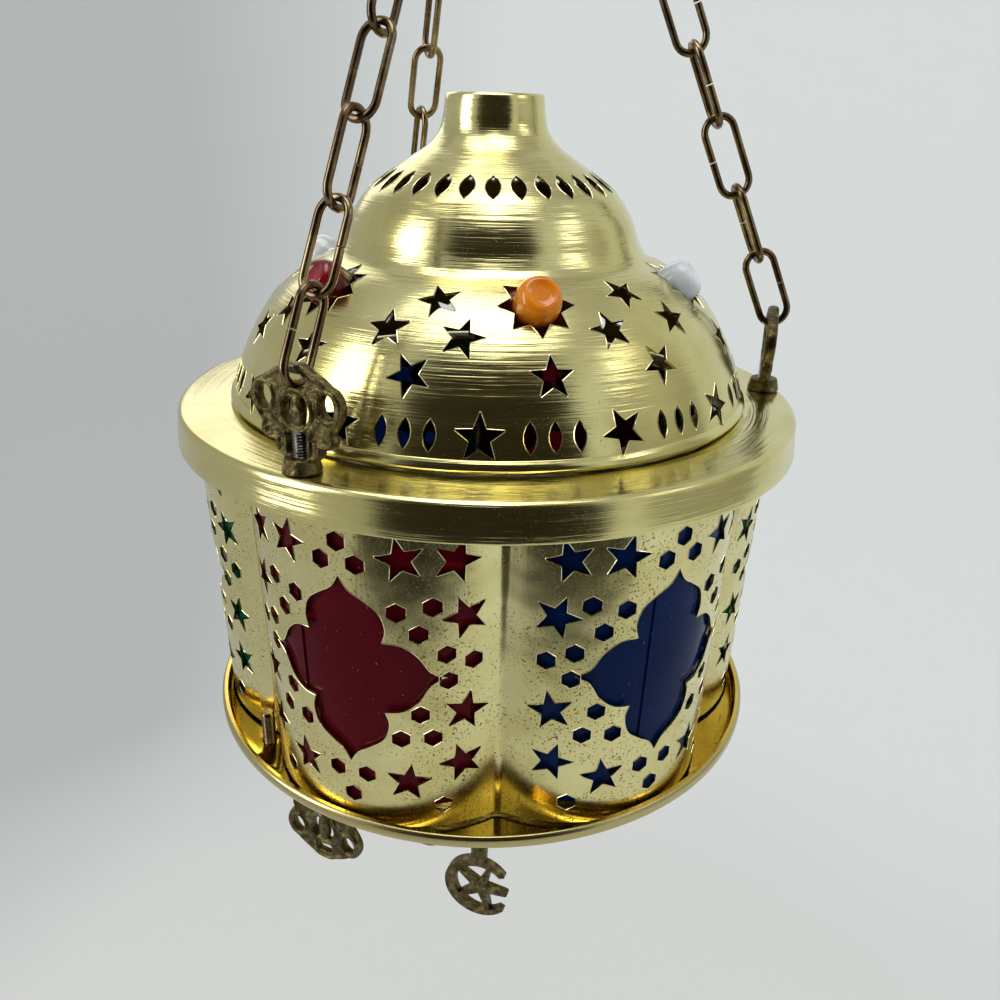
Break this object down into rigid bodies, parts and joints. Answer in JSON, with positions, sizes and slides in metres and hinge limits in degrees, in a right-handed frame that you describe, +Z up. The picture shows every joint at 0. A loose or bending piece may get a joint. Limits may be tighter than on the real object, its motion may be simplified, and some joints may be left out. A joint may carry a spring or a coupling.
{
  "type": "hanging lantern",
  "caption": "Pierced brass hanging candle lantern: onion dome, lobed wall with coloured windows, dish, inverted lower dome with finial, chains on a ring and hook.",
  "frame": {"origin": "where the hook bears on what holds the lantern up: the top of the wire inside the upper bend, touched from above by nothing and from below by the holder", "axes": "+Z up along the lantern's own axis, -Y towards the side the picture shows, +X to that side's right"},
  "size_m": [0.18, 0.18, 0.4728],
  "materials": {
    "brass_sheet": "satin, spun and pierced sheet",
    "polished_gold": "polished",
    "casting": "cast, dull",
    "chain": "bronzed steel wire",
    "steel": "threaded, darkened",
    "film_blue": "clear coloured film",
    "film_green": "clear coloured film",
    "film_red": "clear coloured film",
    "glass_amber": "clear coloured",
    "glass_milky": "milky",
    "glass_green": "clear coloured",
    "glass_blue": "clear coloured",
    "glass_ruby": "clear coloured"
  },
  "bodies": {
    "hook": {"hanging_hook": "chain"},
    "ring": {"gather_ring": "chain"},
    "lantern": {"chain_front_link_1": "chain", "chain_front_link_2": "chain", "chain_front_link_3": "chain", "chain_front_link_4": "chain", "chain_front_link_5": "chain", "chain_front_link_6": "chain", "chain_front_link_7": "chain", "chain_front_link_8": "chain", "chain_front_link_9": "chain", "chain_front_link_10": "chain", "chain_right_link_1": "chain", "chain_right_link_2": "chain", "chain_right_link_3": "chain", "chain_right_link_4": "chain", "chain_right_link_5": "chain", "chain_right_link_6": "chain", "chain_right_link_7": "chain", "chain_right_link_8": "chain", "chain_right_link_9": "chain", "chain_right_link_10": "chain", "chain_back_link_1": "chain", "chain_back_link_2": "chain", "chain_back_link_3": "chain", "chain_back_link_4": "chain", "chain_back_link_5": "chain", "chain_back_link_6": "chain", "chain_back_link_7": "chain", "chain_back_link_8": "chain", "chain_back_link_9": "chain", "chain_back_link_10": "chain", "chain_lug_1": "casting", "chain_lug_2": "casting", "chain_lug_3": "casting", "dome": "brass_sheet", "dome_bead_1": "glass_amber", "dome_bead_2": "glass_milky", "dome_bead_3": "glass_green", "dome_bead_4": "glass_blue", "dome_bead_5": "glass_milky", "dome_bead_6": "glass_ruby", "brim": "brass_sheet", "wall": "brass_sheet", "film_1": "film_blue", "film_2": "film_green", "film_3": "film_red", "film_4": "film_blue", "film_5": "film_green", "film_6": "film_red", "dish": "polished_gold", "tie_rod_1": "steel", "tie_rod_2": "steel", "tie_rod_3": "steel", "drop_casting_1": "casting", "drop_casting_2": "casting", "drop_casting_3": "casting", "base_dome": "brass_sheet", "base_bead": "glass_ruby", "finial": "casting"}
  },
  "joints": [
    {"name": "ring_swing", "type": "hinge", "parent": "hook", "child": "ring", "pos_m": [0, 0, -0.03725], "axis": [0, 1, 0], "range_deg": [-60, 60]},
    {"name": "lantern_swing", "type": "hinge", "parent": "ring", "child": "lantern", "pos_m": [0, 0, -0.0587], "axis": [1, 0, 0], "range_deg": [-40, 40]}
  ]
}
